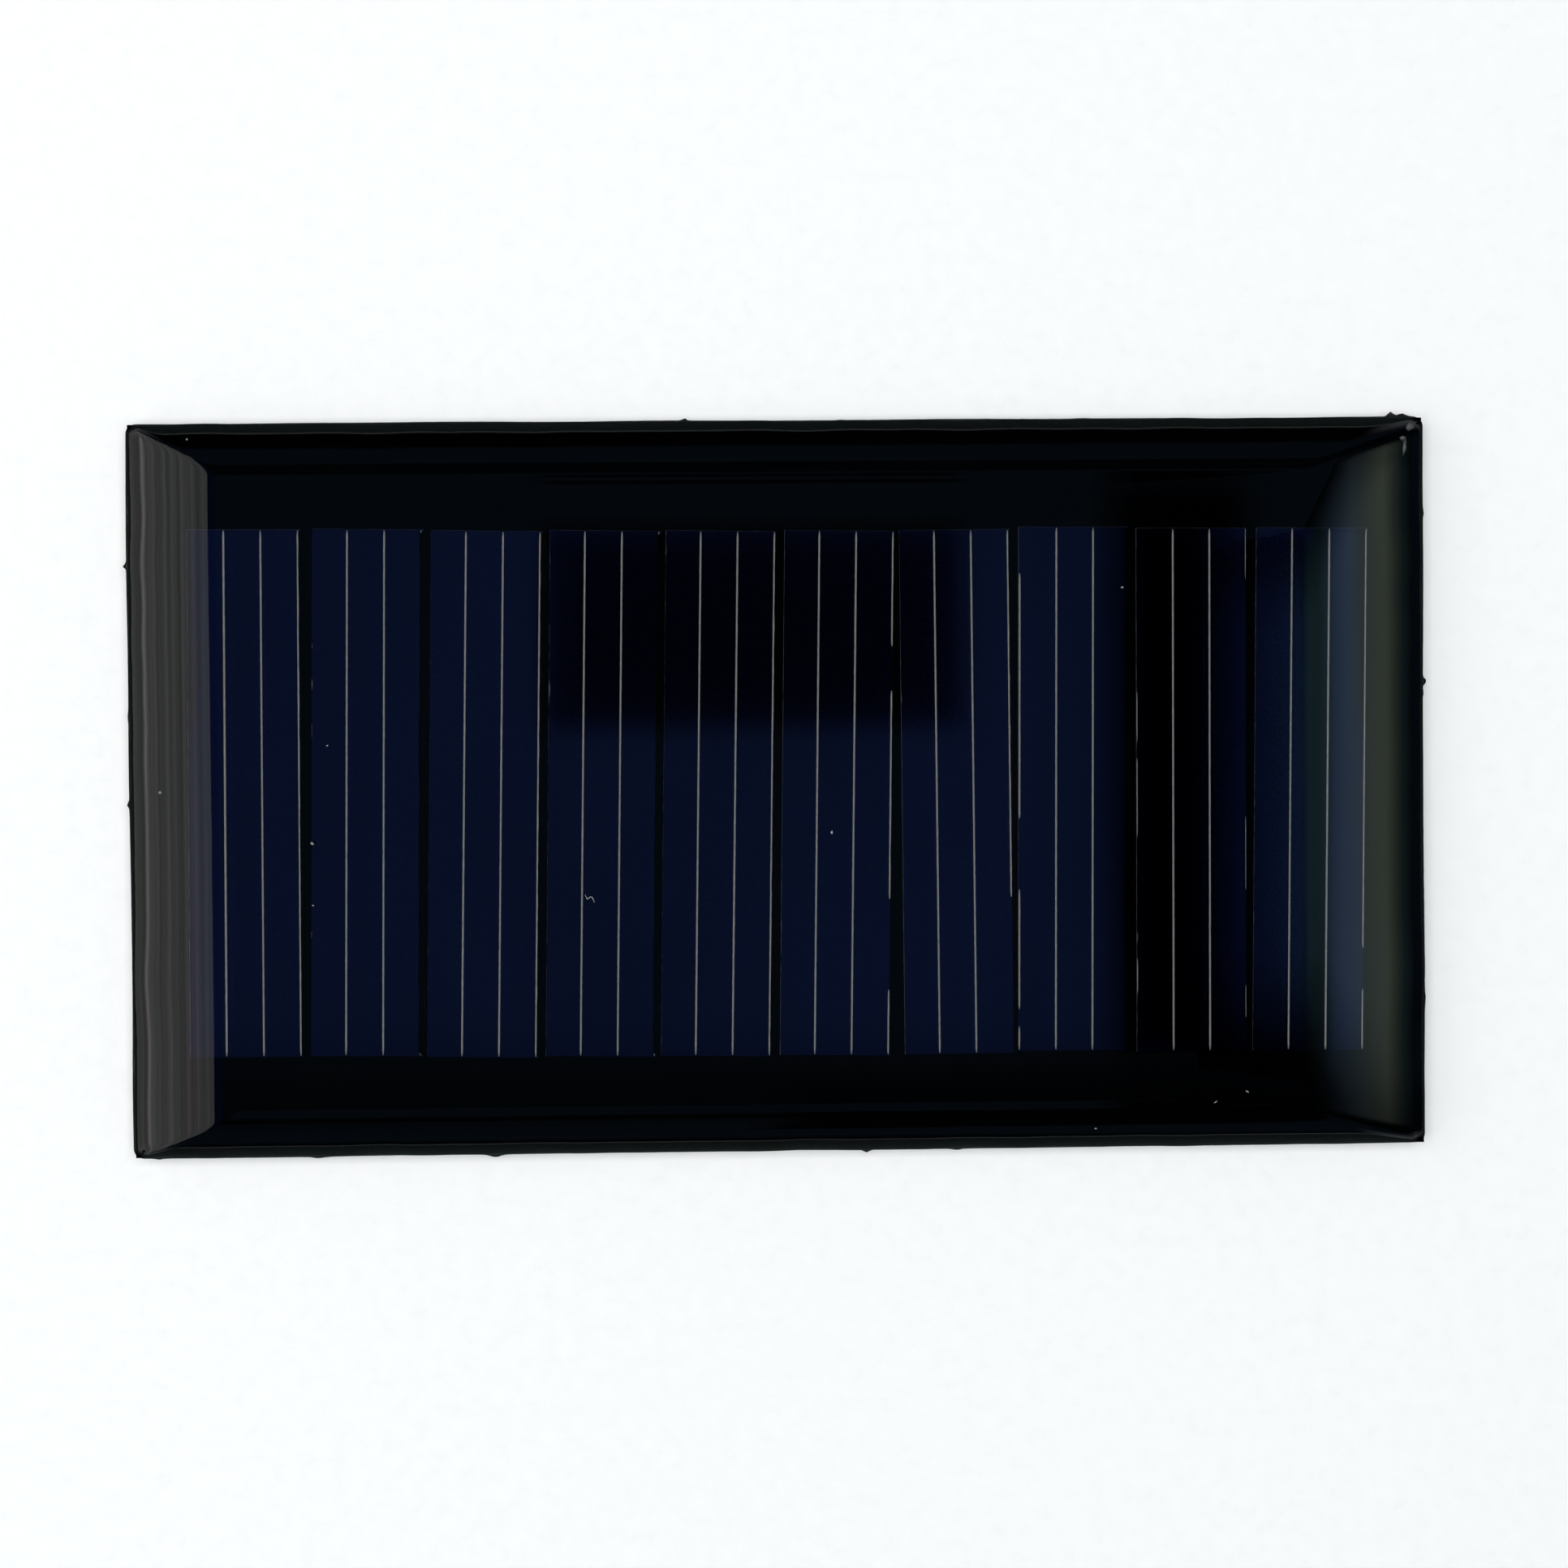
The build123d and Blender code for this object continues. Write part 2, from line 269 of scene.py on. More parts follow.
class NodeTree:
    """The node tree of a material or world, with short calls for the nodes used here."""

    def __init__(self, owner):
        owner.use_nodes = True
        self.tree = owner.node_tree
        self.tree.nodes.clear()

    def add(self, kind, **settings):
        """A new node, with its own settings."""
        node = self.tree.nodes.new(f"ShaderNode{kind}")
        for name, value in settings.items():
            setattr(node, name, value)
        return node

    def join(self, value, socket):
        """Feeds a socket from another one, or gives it a plain value."""
        if isinstance(value, bpy.types.NodeSocket):
            self.tree.links.new(value, socket)
        else:
            socket.default_value = value

    def coordinates(self, kind, scale):
        """Texture coordinates, times scale along each axis."""
        mapping = self.add("Mapping")
        mapping.inputs["Scale"].default_value = scale
        self.join(self.add("TexCoord").outputs[kind], mapping.inputs["Vector"])
        return mapping.outputs["Vector"]

    def noise_over(self, place, detail, roughness):
        """Noise from 0 to 1 over coordinates."""
        texture = self.add("TexNoise")
        texture.inputs["Scale"].default_value = 1.0
        texture.inputs["Detail"].default_value = detail
        texture.inputs["Roughness"].default_value = roughness
        self.join(place, texture.inputs["Vector"])
        return texture.outputs["Fac"]

    def ramp(self, factor, *stops):
        """Colours or grey levels by factor; each stop is (position, colour or level)."""
        node = self.add("ValToRGB")
        elements = node.color_ramp.elements
        while len(elements) < len(stops):
            elements.new(0.5)
        for element, (position, value) in zip(elements, stops):
            element.position = position
            element.color = (*value, 1.0) if isinstance(value, tuple) else (value, value, value, 1.0)
        self.join(factor, node.inputs["Fac"])
        return node.outputs["Color"]

    def mix(self, factor, first, second, blend="MIX"):
        """Two colours, mixed or blended."""
        node = self.add("Mix", data_type="RGBA", blend_type=blend)
        for index, value in ((0, factor), (6, first), (7, second)):
            self.join(value, node.inputs[index])
        return node.outputs[2]

    def math(self, operation, *values):
        node = self.add("Math", operation=operation)
        for value, socket in zip(values, node.inputs):
            self.join(value, socket)
        return node.outputs[0]


class Shader(NodeTree):
    """A material with one surface shader."""

    def __init__(self, name):
        self.material = bpy.data.materials.new(name)
        super().__init__(self.material)
        self.surface = self.add("BsdfPrincipled")
        self.join(self.surface.outputs[0], self.add("OutputMaterial").inputs["Surface"])

    def set(self, **values):
        """Sets the surface's own sockets; an underscore stands for a space."""
        for name, value in values.items():
            self.surface.inputs[name.replace("_", " ")].default_value = value

    def link(self, output, socket):
        self.join(output, self.surface.inputs[socket])

    def noise(self, scale, detail, roughness):
        """Noise whose features are about 1/scale of a metre, for each axis of the row frame."""
        return self.noise_over(self.coordinates("Object", scale), detail, roughness)

    def bump(self, height, strength, distance, previous=None):
        """Bump whose full height is distance, in metres."""
        node = self.add("Bump")
        node.inputs["Strength"].default_value = strength
        node.inputs["Distance"].default_value = distance
        self.join(height, node.inputs["Height"])
        if previous is not None:
            self.join(previous, node.inputs["Normal"])
        return node.outputs["Normal"]


# ====================================================== materials


def clear_resin():
    """Cast epoxy: clear, glossy, with a faint waviness and a few hazy patches."""
    shader = Shader("clear_resin")
    shader.set(Base_Color=(0.985, 0.99, 0.985, 1), IOR=1.52, Transmission_Weight=1.0)
    haze = shader.noise((260, 260, 260), 4.0, 0.6)
    shader.link(shader.ramp(haze, (0.45, 0.004), (0.75, 0.028)), "Roughness")
    ripple = shader.noise((900, 140, 300), 2.0, 0.5)
    shader.link(shader.bump(ripple, 1.0, 0.0000022), "Normal")
    return shader.material


def silicon():
    """Silicon under a dark blue anti-reflection coat, with faint mottling."""
    shader = Shader("silicon")
    shader.set(Metallic=1.0, Specular_IOR_Level=0.5)
    cloud = shader.noise((180, 60, 180), 4.0, 0.6)
    grain = shader.noise((9000, 9000, 9000), 2.0, 0.6)
    base = shader.ramp(cloud, (0.3, (0.066, 0.062, 0.196)), (0.7, (0.086, 0.081, 0.248)))
    speckle = shader.ramp(grain, (0.25, 0.72), (0.75, 1.20))
    shader.link(shader.mix(1.0, base, speckle, "MULTIPLY"), "Base Color")
    shader.link(shader.ramp(grain, (0.3, 0.035), (0.8, 0.065)), "Roughness")
    return shader.material


def finger_silver():
    """Fired silver paste: pale, matte and slightly porous."""
    shader = Shader("finger_silver")
    shader.set(Metallic=0.35, Specular_IOR_Level=0.3)
    grain = shader.noise((14000, 5000, 14000), 3.0, 0.6)
    shader.link(shader.ramp(grain, (0.3, (0.24, 0.24, 0.23)), (0.7, (0.34, 0.34, 0.325))), "Base Color")
    shader.link(shader.ramp(grain, (0.3, 0.62), (0.7, 0.48)), "Roughness")
    shader.link(shader.bump(grain, 0.5, 0.000004), "Normal")
    return shader.material


def solder_mask(name, specular, dark, light):
    """Black photo-imaged mask, semi-gloss, with a fine orange peel."""
    shader = Shader(name)
    shader.set(Specular_IOR_Level=specular)
    cloud = shader.noise((220, 220, 220), 3.0, 0.5)
    peel = shader.noise((2600, 2600, 2600), 2.0, 0.5)
    shader.link(shader.ramp(cloud, (0.3, dark), (0.7, light)), "Base Color")
    shader.link(shader.ramp(peel, (0.3, 0.30), (0.7, 0.42)), "Roughness")
    shader.link(shader.bump(peel, 0.6, 0.000006), "Normal")
    return shader.material


def board_laminate():
    """Dark glass-epoxy, with the glass plies showing as pale broken streaks along its edge."""
    shader = Shader("board_laminate")
    shader.set(Specular_IOR_Level=0.15)
    plies = shader.noise((700, 700, 11000), 4.0, 0.65)
    dust = shader.noise((6000, 6000, 6000), 3.0, 0.6)
    streaks = shader.ramp(
        plies,
        (0.40, (0.004, 0.0042, 0.004)),
        (0.58, (0.014, 0.0145, 0.013)),
        (0.78, (0.090, 0.092, 0.080)),
    )
    specks = shader.ramp(dust, (0.35, 0.7), (0.8, 1.35))
    shader.link(shader.mix(1.0, streaks, specks, "MULTIPLY"), "Base Color")
    shader.link(shader.ramp(dust, (0.3, 0.85), (0.7, 0.6)), "Roughness")
    fibres = shader.bump(plies, 0.7, 0.00003)
    shader.link(shader.bump(dust, 0.6, 0.00001, fibres), "Normal")
    return shader.material


def metal(name, dark, light, roughness, scale, metallic=1.0, relief=0.000004):
    """A metal with uneven tone, finish and surface."""
    shader = Shader(name)
    shader.set(Metallic=metallic)
    cloud = shader.noise(scale, 4.0, 0.6)
    shader.link(shader.ramp(cloud, (0.3, dark), (0.7, light)), "Base Color")
    shader.link(shader.ramp(cloud, (0.3, roughness[0]), (0.7, roughness[1])), "Roughness")
    shader.link(shader.bump(cloud, 0.6, relief), "Normal")
    return shader.material


def paste(name, dark, light, roughness, scale, relief, specular=0.1):
    """A filled adhesive or an ink."""
    shader = Shader(name)
    shader.set(Specular_IOR_Level=specular)
    grain = shader.noise(scale, 3.0, 0.6)
    shader.link(shader.ramp(grain, (0.3, dark), (0.7, light)), "Base Color")
    shader.link(shader.ramp(grain, (0.3, roughness), (0.7, roughness * 0.8)), "Roughness")
    shader.link(shader.bump(grain, 0.6, relief), "Normal")
    return shader.material


def make_materials():
    return {
        "clear_resin": clear_resin(),
        "silicon": silicon(),
        "finger_silver": finger_silver(),
        "front_mask": solder_mask("front_mask", 0.0, (0.0002, 0.0002, 0.0003), (0.0004, 0.0004, 0.0005)),
        "rear_mask": solder_mask("rear_mask", 0.5, (0.0050, 0.0056, 0.0060), (0.0080, 0.0086, 0.0092)),
        "board_laminate": board_laminate(),
        "rear_aluminium": metal(
            "rear_aluminium", (0.38, 0.38, 0.39), (0.52, 0.52, 0.53), (0.65, 0.5), (4000,) * 3
        ),
        "copper": metal("copper", (0.60, 0.27, 0.16), (0.78, 0.42, 0.27), (0.45, 0.3), (2500,) * 3),
        "solder": metal(
            "solder", (0.50, 0.51, 0.52), (0.72, 0.72, 0.71), (0.38, 0.2), (900,) * 3, 1.0, 0.00003
        ),
        "bond_adhesive": paste(
            "bond_adhesive", (0.26, 0.26, 0.25), (0.40, 0.40, 0.39), 0.6, (5000,) * 3, 0.00001
        ),
        # Link bead: near-black with no gloss, which is painted shade of the groove between the strips.
        "link_adhesive": paste(
            "link_adhesive", (0.0001, 0.0001, 0.0001), (0.0006, 0.0006, 0.0007), 0.7,
            (5000,) * 3, 0.00001, 0.0,
        ),
        "mark_ink": paste("mark_ink", (0.62, 0.62, 0.60), (0.80, 0.80, 0.78), 0.6, (7000,) * 3, 0.000004),
        "dust": paste("dust", (0.22, 0.23, 0.23), (0.42, 0.42, 0.41), 0.8, (9000,) * 3, 0.000005),
        "mould_flash": paste(
            "mould_flash", (0.015, 0.017, 0.017), (0.13, 0.135, 0.13), 0.35, (5000,) * 3, 0.00003, 0.5
        ),
    }


# ====================================================== clear resin


def slope_levels(run, rise):
    """A slope at each shared level, foot first: distance from the crest, drop, share of foot."""
    radius = (run**2 + rise**2) / (2 * rise)
    levels = []
    for step in range(SLOPE_STEPS + 1):
        share = 1 - step / SLOPE_STEPS
        drop = rise * share**2
        levels.append((math.sqrt(max(2 * radius * drop - drop**2, 0.0)), drop, share))
    return levels


def rim_depth(distance, width):
    """How far the crown has sunk at a distance in from the crest."""
    share = min(distance / width, 1.0)
    return RIM_HEIGHT * share**2 * (3 - 2 * share)


def round_corner(x, y, low, high):
    """A point moved so that the corners of the box from low to high become round."""
    middle = (low + high) / 2
    over_x = abs(x - middle.x) - ((high.x - low.x) / 2 - RESIN_CORNER)
    over_y = abs(y - middle.y) - ((high.y - low.y) / 2 - RESIN_CORNER)
    if over_x <= 0 or over_y <= 0:
        return x, y
    pull = 1 - max(over_x, over_y) / math.hypot(over_x, over_y)
    return x - math.copysign(over_x * pull, x - middle.x), y - math.copysign(over_y * pull, y - middle.y)


def crown_line(low, high, low_slope, high_slope, low_rim, high_rim, rise):
    """Mesh lines across the resin, as (place, drop on the slope, share of foot, sink of the crown)."""
    start, end = low + low_slope, high - high_slope
    up = [(start - far, drop, share, 0.0) for far, drop, share in slope_levels(low_slope, rise)]
    down = [(end + far, drop, share, 0.0) for far, drop, share in slope_levels(high_slope, rise)]
    first, last = start + RIM_STEPS[-1], end - RIM_STEPS[-1]
    count = round((last - first) / CROWN_STEP)
    places = [start + step for step in RIM_STEPS]
    places += [first + (last - first) * i / count for i in range(1, count)]
    places += [end - step for step in reversed(RIM_STEPS)]
    flat = []
    for place in places:
        sink = min(rim_depth(place - start, low_rim), rim_depth(end - place, high_rim))
        flat.append((place, 0.0, 0.0, sink))
    return up + flat + down[::-1]


def resin_drop(along, column, row):
    """Drop below the rim. Where two slopes meet, their ridge is crisper at the -X end."""
    _x, drop_x, _share, sink_x = column
    _y, drop_y, _share, sink_y = row
    if drop_x == 0.0 and drop_y == 0.0:
        return min(sink_x, sink_y)
    power = CRISP_RIDGE + (SOFT_RIDGE - CRISP_RIDGE) * along
    return (drop_x**power + drop_y**power) ** (1 / power)


def grid_faces(columns, rows):
    """The faces of a grid of points, and its outer points in order."""
    faces = []
    for j in range(rows - 1):
        for i in range(columns - 1):
            corner = j * columns + i
            faces.append((corner, corner + 1, corner + columns + 1, corner + columns))
    rim = list(range(columns))
    rim += [j * columns + columns - 1 for j in range(1, rows)]
    rim += [(rows - 1) * columns + i for i in range(columns - 2, -1, -1)]
    rim += [j * columns for j in range(rows - 2, 0, -1)]
    return faces, rim


def resin_dome(material):
    """The clear casting: one closed mesh with mitred corners and a wandering foot."""
    low, high = box_of("encapsulant")
    rise = high.z - low.z - RESIN_LIP
    lines_x = crown_line(low.x, high.x, LEFT_SLOPE, RIGHT_SLOPE, LEFT_RIM, RIGHT_RIM, rise)
    lines_y = crown_line(low.y, high.y, NEAR_SLOPE, FAR_SLOPE, NEAR_RIM, FAR_RIM, rise)
    points = []
    for row in lines_y:
        for column in lines_x:
            (x, _drop, share_x, _sink), (y, _drop, share_y, _sink) = column, row
            z = high.z - resin_drop((x - low.x) / (high.x - low.x), column, row)
            inland = (1 - share_x) * (1 - share_y)
            z += SWELL * inland * (wave(x / SWELL_SPAN, y / SWELL_SPAN, 1) - 1)
            spread_x = FOOT_SPREAD + FOOT_WANDER * wave(y / FOOT_SPAN, 0, 2)
            spread_y = FOOT_SPREAD + FOOT_WANDER * wave(x / FOOT_SPAN, 0, 3)
            round_x, round_y = round_corner(x, y, low, high)
            out_x = math.copysign(share_x**2, x) * spread_x
            out_y = math.copysign(share_y**2, y) * spread_y
            points.append((round_x + out_x, round_y + out_y, z))
    faces, rim = grid_faces(len(lines_x), len(lines_y))
    base, count = len(points), len(rim)
    points += [(points[i][0], points[i][1], low.z - RESIN_SINK) for i in rim]
    for k in range(count):
        after = (k + 1) % count
        faces.append((rim[k], base + k, base + after, rim[after]))
    faces.append([base + k for k in range(count)][::-1])
    dome = add_piece("resin_dome", points, faces, material, ("encapsulant",))
    dome.visible_shadow = False
    return dome


# ====================================================== board


def board_outline(inset):
    """Points round the board with their outward directions, side names and places."""
    low, high = box_of("board_core")
    half_x, half_y = high.x - CORNER_RADIUS, high.y - CORNER_RADIUS
    sides = (
        ("near", Vector((-half_x, -half_y)), Vector((half_x, -half_y)), -90),
        ("right", Vector((half_x, -half_y)), Vector((half_x, half_y)), 0),
        ("far", Vector((half_x, half_y)), Vector((-half_x, half_y)), 90),
        ("left", Vector((-half_x, half_y)), Vector((-half_x, -half_y)), 180),
    )
    reach = CORNER_RADIUS - inset
    outline = []
    for side, start, end, degrees in sides:
        count = round((end - start).length / EDGE_STEP)
        out = Vector((math.cos(math.radians(degrees)), math.sin(math.radians(degrees))))
        for i in range(count):
            middle = start.lerp(end, i / count)
            outline.append((middle + out * reach, out, side, middle))
        for step in range(CORNER_STEPS):
            turn = math.radians(degrees + 90 * step / CORNER_STEPS)
            around = Vector((math.cos(turn), math.sin(turn)))
            outline.append((end + around * reach, around, "corner", end))
    return outline


def splinter_reach(side, middle):
    """How far a splinter stands out at a place on a side."""
    total = 0.0
    for name, place, reach, half_width in SPLINTERS:
        along = middle.x if side in ("near", "far") else middle.y
        if name == side:
            total += reach * math.exp(-(((along - place) / half_width) ** 2) * 2)
    return total


def board_rows():
    """Rows of the board's edge, bottom to top: height, inset and how torn it is."""
    low, high = box_of("board_core")
    rows = []
    for step in range(BEVEL_ROWS + 1):
        share = step / BEVEL_ROWS
        rows.append((low.z + SCORE_DEPTH * share, SCORE_BEVEL * (1 - share), BEVEL_TORN * share))
    band = high.z - low.z - 2 * SCORE_DEPTH
    for step in range(1, SNAP_ROWS):
        rows.append((low.z + SCORE_DEPTH + band * step / SNAP_ROWS, 0.0, 1.0))
    for step in range(BEVEL_ROWS + 1):
        share = step / BEVEL_ROWS
        rows.append((high.z - SCORE_DEPTH * (1 - share), SCORE_BEVEL * share, BEVEL_TORN * (1 - share)))
    return rows


def torn_depth(z, torn, out, side, middle):
    """How far the snapped edge stands out at a point."""
    drift = wave(middle.x / DRIFT_SPAN, middle.y / DRIFT_SPAN, 4)
    ply = wave((middle.x + middle.y) / PLY_SPAN[0], z / PLY_SPAN[1], 5)
    tear = wave((middle.x - middle.y) / TEAR_SPAN[0], z / TEAR_SPAN[1], 6)
    depth = SNAP_ROUGHNESS * torn * (PLY_SHARE * ply + TEAR_SHARE * tear - SNAP_INWARD)
    reach = splinter_reach(side, middle) * (BEVEL_SPLINTER + (1 - BEVEL_SPLINTER) * torn)
    depth += EDGE_WANDER * (drift - WANDER_INWARD) + reach
    return depth + STAND_X * out.x**2 + STAND_Y * out.y**2


def via_holes(points, faces, low_z, high_z):
    """Adds the walls of both via holes. Gives each hole's lower and upper ring of points."""
    holes = []
    for side in (-1, 1):
        rings = []
        for z in (low_z, high_z):
            start = len(points)
            for k in range(VIA_SIDES):
                turn = 2 * math.pi * k / VIA_SIDES
                points.append((side * VIA_X + VIA_RADIUS * math.cos(turn), VIA_RADIUS * math.sin(turn), z))
            rings.append(list(range(start, start + VIA_SIDES)))
        ring_low, ring_high = rings
        for k in range(VIA_SIDES):
            after = (k + 1) % VIA_SIDES
            faces.append((ring_low[k], ring_high[k], ring_high[after], ring_low[after]))
        holes.append(rings)
    return holes


def laminate_board(material):
    """The board's core, with V-scored bevels, a torn band between them and its via holes."""
    rows = board_rows()
    points, faces = [], []
    for z, inset, torn in rows:
        outline = board_outline(inset)
        for place, out, side, middle in outline:
            depth = torn_depth(z, torn, out, side, middle)
            points.append((place.x + out.x * depth, place.y + out.y * depth, z))
    count = len(outline)
    for row in range(len(rows) - 1):
        for k in range(count):
            after = (k + 1) % count
            first, second = row * count, (row + 1) * count
            faces.append((first + k, first + after, second + after, second + k))
    top_start = (len(rows) - 1) * count
    holes = via_holes(points, faces, rows[0][0], rows[-1][0])
    for start, level, up in ((0, 0, False), (top_start, 1, True)):
        rings = [list(range(start, start + count))] + [hole[level] for hole in holes]
        flat = [index for ring in rings for index in ring]
        polygons = [[Vector(points[index]) for index in ring] for ring in rings]
        for triangle in geometry.tessellate_polygon(polygons):
            face = [flat[corner] for corner in triangle]
            normal_up = signed_area([points[index] for index in face]) > 0
            faces.append(face if normal_up == up else face[::-1])
    add_piece("laminate_board", points, faces, material, ("board_core",), False)


def signed_area(corners):
    """Twice the area of a flat polygon seen from above, positive if it turns left."""
    total = 0.0
    for here, after in zip(corners, corners[1:] + corners[:1]):
        total += here[0] * after[1] - after[0] * here[1]
    return total


# ====================================================== strips, fingers and links


def strip_frame(node):
    """Matrix, in millimetres, of a strip's own frame: X across it, Y along it."""
    corners = [vertex.co / MM for vertex in nodes[node].data.vertices]
    middle = sum(corners, Vector()) / len(corners)
    far = [corner for corner in corners if corner.y > middle.y]
    near = [corner for corner in corners if corner.y <= middle.y]
    along = sum(far, Vector()) / len(far) - sum(near, Vector()) / len(near)
    lean = math.atan2(along.x, along.y)
    return Matrix.Translation((middle.x, middle.y, 0)) @ Matrix.Rotation(-lean, 4, "Z")


def local_corners(points, place):
    """Lowest and highest corner of points, measured in a strip's own frame."""
    inverse = place.inverted()
    local = [inverse @ point for point in points]
    low = Vector([min(point[axis] for point in local) for axis in range(3)])
    high = Vector([max(point[axis] for point in local) for axis in range(3)])
    return low, high


def solids_of(node):
    """The points of each separate solid of a CAD node, in millimetres."""
    mesh = nodes[node].data
    keys = [tuple(round(value / MM, 4) for value in vertex.co) for vertex in mesh.vertices]
    parent = {key: key for key in keys}

    def root(key):
        while parent[key] != key:
            key = parent[key]
        return key

    for edge in mesh.edges:
        first, second = root(keys[edge.vertices[0]]), root(keys[edge.vertices[1]])
        parent[first] = second
    groups = {}
    for key in parent:
        groups.setdefault(root(key), []).append(Vector(key))
    return [groups[key] for key in sorted(groups)]


def cut_side(y, number, side, level):
    """How far a strip's cut side steps in at y, with a chip here and there."""
    fine = wave(y / CUT_SPAN, level * CUT_SHIFT, number * 2 + side) * 0.5 + 0.5
    chipping = wave(y / CHIP_SPAN, level * CHIP_SHIFT, number * 3 + side + 40)
    chip = max(0.0, chipping - CHIP_START) / CHIP_RANGE
    return CUT_ROUGHNESS * fine + CHIP_DEPTH * min(chip, 1.0)


def wafer_strip(number, material):
    """One silicon strip, with the slightly ragged sides that dicing leaves."""
    node = f"silicon_strip_{number:02d}"
    place = strip_frame(node)
    corners = [vertex.co / MM for vertex in nodes[node].data.vertices]
    low, high = local_corners(corners, place)
    count = round((high.y - low.y) / CUT_STEP)
    points, faces = [], []
    for i in range(count + 1):
        y = low.y + (high.y - low.y) * i / count
        end = CUT_ROUGHNESS * 0.6 if i in (0, count) else 0.0
        inner_y = y + (end if i == 0 else -end)
        for z, level in ((low.z, 0), (high.z, 1)):
            points.append(place @ Vector((low.x + cut_side(y, number, 0, level), inner_y, z)))
            points.append(place @ Vector((high.x - cut_side(y, number, 1, level), inner_y, z)))
    for i in range(count):
        a, b = i * 4, i * 4 + 4
        faces += [(a + 2, a + 3, b + 3, b + 2), (a + 1, a, b, b + 1)]
        faces += [(a + 3, a + 1, b + 1, b + 3), (a, a + 2, b + 2, b)]
    last = count * 4
    faces += [(0, 1, 3, 2), (last + 1, last, last + 2, last + 3)]
    add_piece(f"wafer_strip_{number:02d}", points, faces, material, (node,), False)
    return place


def loft(sections):
    """Points and faces of a closed body lofted through equal rings of points."""
    size = len(sections[0])
    points = [point for section in sections for point in section]
    faces = []
    for i in range(len(sections) - 1):
        for k in range(size):
            after = (k + 1) % size
            a, b = i * size, (i + 1) * size
            faces.append((a + k, b + k, b + after, a + after))
    last = (len(sections) - 1) * size
    faces.append(list(range(size)))
    faces.append([last + k for k in range(size)][::-1])
    return points, faces


def printed_finger(low, high, place, seed):
    """Sections of one printed finger: a low rounded line with uneven edges and blunt ends."""
    length, half = high.y - low.y, (high.x - low.x) / 2
    middle = (low.x + high.x) / 2
    count = max(3, round(length / FINGER_STEP))
    sections = []
    for i in range(count + 1):
        y = low.y + length * i / count
        blunt = FINGER_END if i in (0, count) else 1.0
        left = half * blunt * (1 + FINGER_UNEVEN * wave(y / FINGER_SPAN, 0.0, seed))
        right = half * blunt * (1 + FINGER_UNEVEN * wave(y / FINGER_SPAN, 5.0, seed))
        crest = low.z + (high.z - low.z) * (CREST_LEVEL + CREST_UNEVEN * wave(y / CREST_SPAN, 9.0, seed))
        shoulder = low.z + (crest - low.z) * SHOULDER_HEIGHT
        ring = (
            (middle - left, low.z),
            (middle + right, low.z),
            (middle + right * SHOULDER_PLACE, shoulder),
            (middle, crest),
            (middle - left * SHOULDER_PLACE, shoulder),
        )
        sections.append([place @ Vector((x, y, z)) for x, z in ring])
    return sections


def finger_set(number, place, material):
    """All the printed fingers of one strip, as one piece."""
    node = f"finger_grid_{number:02d}"
    points, faces = [], []
    for index, solid in enumerate(solids_of(node)):
        low, high = local_corners(solid, place)
        more_points, more_faces = loft(printed_finger(low, high, place, number * 10 + index))
        start = len(points)
        points += more_points
        faces += [[start + corner for corner in face] for face in more_faces]
    add_piece(f"printed_fingers_{number:02d}", points, faces, material, (node,))


def adhesive_bead(number, place, material, last):
    """The bead that links a strip's edge finger to the next strip's copper; its near-black colour is painted
    shade of the groove between the strips.
    """
    node = "negative_link" if number == last else f"series_link_{number:02d}"
    corners = [vertex.co / MM for vertex in nodes[node].data.vertices]
    low, high = local_corners(corners, place)
    lip = min(corner.z for corner in corners if abs((place.inverted() @ corner).x - low.x) < 0.01)
    leg = min((place.inverted() @ corner).x for corner in corners if corner.z < lip - 0.01)
    count = round((high.y - low.y) / BEAD_STEP)
    sections = []
    for i in range(count + 1):
        y = low.y + (high.y - low.y) * i / count
        end = BEAD_END if i in (0, count) else 1.0
        swell = BEAD_UNEVEN * wave(y / BEAD_SPAN, 0.0, number + 70)
        reach = (low.x - leg) * end * (1 + BEAD_SWELL[0] * swell)
        top = high.z + BEAD_SWELL[1] * swell
        outer = high.x + BEAD_SWELL[2] * swell
        ring = (
            (leg, low.z),
            (outer, low.z),
            (outer, lip),
            (outer - OUTER_SHOULDER[0], top - OUTER_SHOULDER[1]),
            ((outer + leg) / 2, top),
            (leg + reach * LAP_SHOULDER[0], top - LAP_SHOULDER[1]),
            (leg + reach, lip),
            (leg, lip),
        )
        sections.append([place @ Vector((x, y, z)) for x, z in ring])
    points, faces = loft(sections)
    add_piece(f"adhesive_bead_{number:02d}", points, faces, material, (node,))


# ====================================================== dust


def surface_point(tree, x, y, lift):
    """The point lift above the resin's surface at a place."""
    hit = tree.ray_cast(Vector((x, y, 10.0)), Vector((0, 0, -1)))[0]
    return Vector((x, y, hit.z + lift))


def lumps(name, places, tree, material):
    """Small uneven lumps lying on the resin."""
    lump = bmesh.new()
    bmesh.ops.create_icosphere(lump, subdivisions=2, radius=0.5)
    shape = [vertex.co.copy() for vertex in lump.verts]
    shape_faces = [[vertex.index for vertex in face.verts] for face in lump.faces]
    lump.free()
    points, faces = [], []
    for number, (x, y, length, width, degrees) in enumerate(places):
        centre = surface_point(tree, x, y, SPECK_HEIGHT * SPECK_LIFT)
        turn = Matrix.Rotation(math.radians(degrees), 3, "Z")
        start = len(points)
        for corner in shape:
            swell = 1 + SPECK_UNEVEN * noise.noise(corner * 2.6 + Vector((number * 7.1, 0, 0)))
            scaled = Vector((corner.x * length, corner.y * width, corner.z * SPECK_HEIGHT)) * swell
            points.append(centre + turn @ scaled)
        faces += [[start + index for index in face] for face in shape_faces]
    add_piece(name, points, faces, material)


